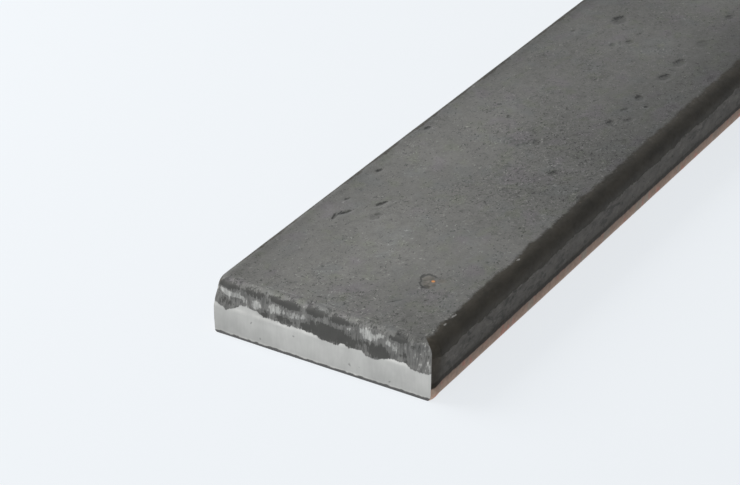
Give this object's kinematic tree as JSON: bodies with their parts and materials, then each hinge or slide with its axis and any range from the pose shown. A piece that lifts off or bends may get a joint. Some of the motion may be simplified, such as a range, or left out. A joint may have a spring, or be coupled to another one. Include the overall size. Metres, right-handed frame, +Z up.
{
  "type": "steel flat bar",
  "caption": "Straight hot-rolled steel flat bar with round rolled edges, guillotine-sheared square across at each end, for framing, brackets and straps.",
  "frame": {"origin": "under the middle of the bar, at the height of the face it lies on", "axes": "+X along the bar's length, +Y across its width, +Z up through its thickness"},
  "size_m": [0.5, 0.05, 0.012],
  "materials": {
    "mill_scale_steel": "hot-rolled mill scale, matt dark grey with pits and a little rust; the sheared ends are bright below and scale-smeared above"
  },
  "bodies": {
    "root": {"flat_bar": "mill_scale_steel"}
  },
  "joints": []
}
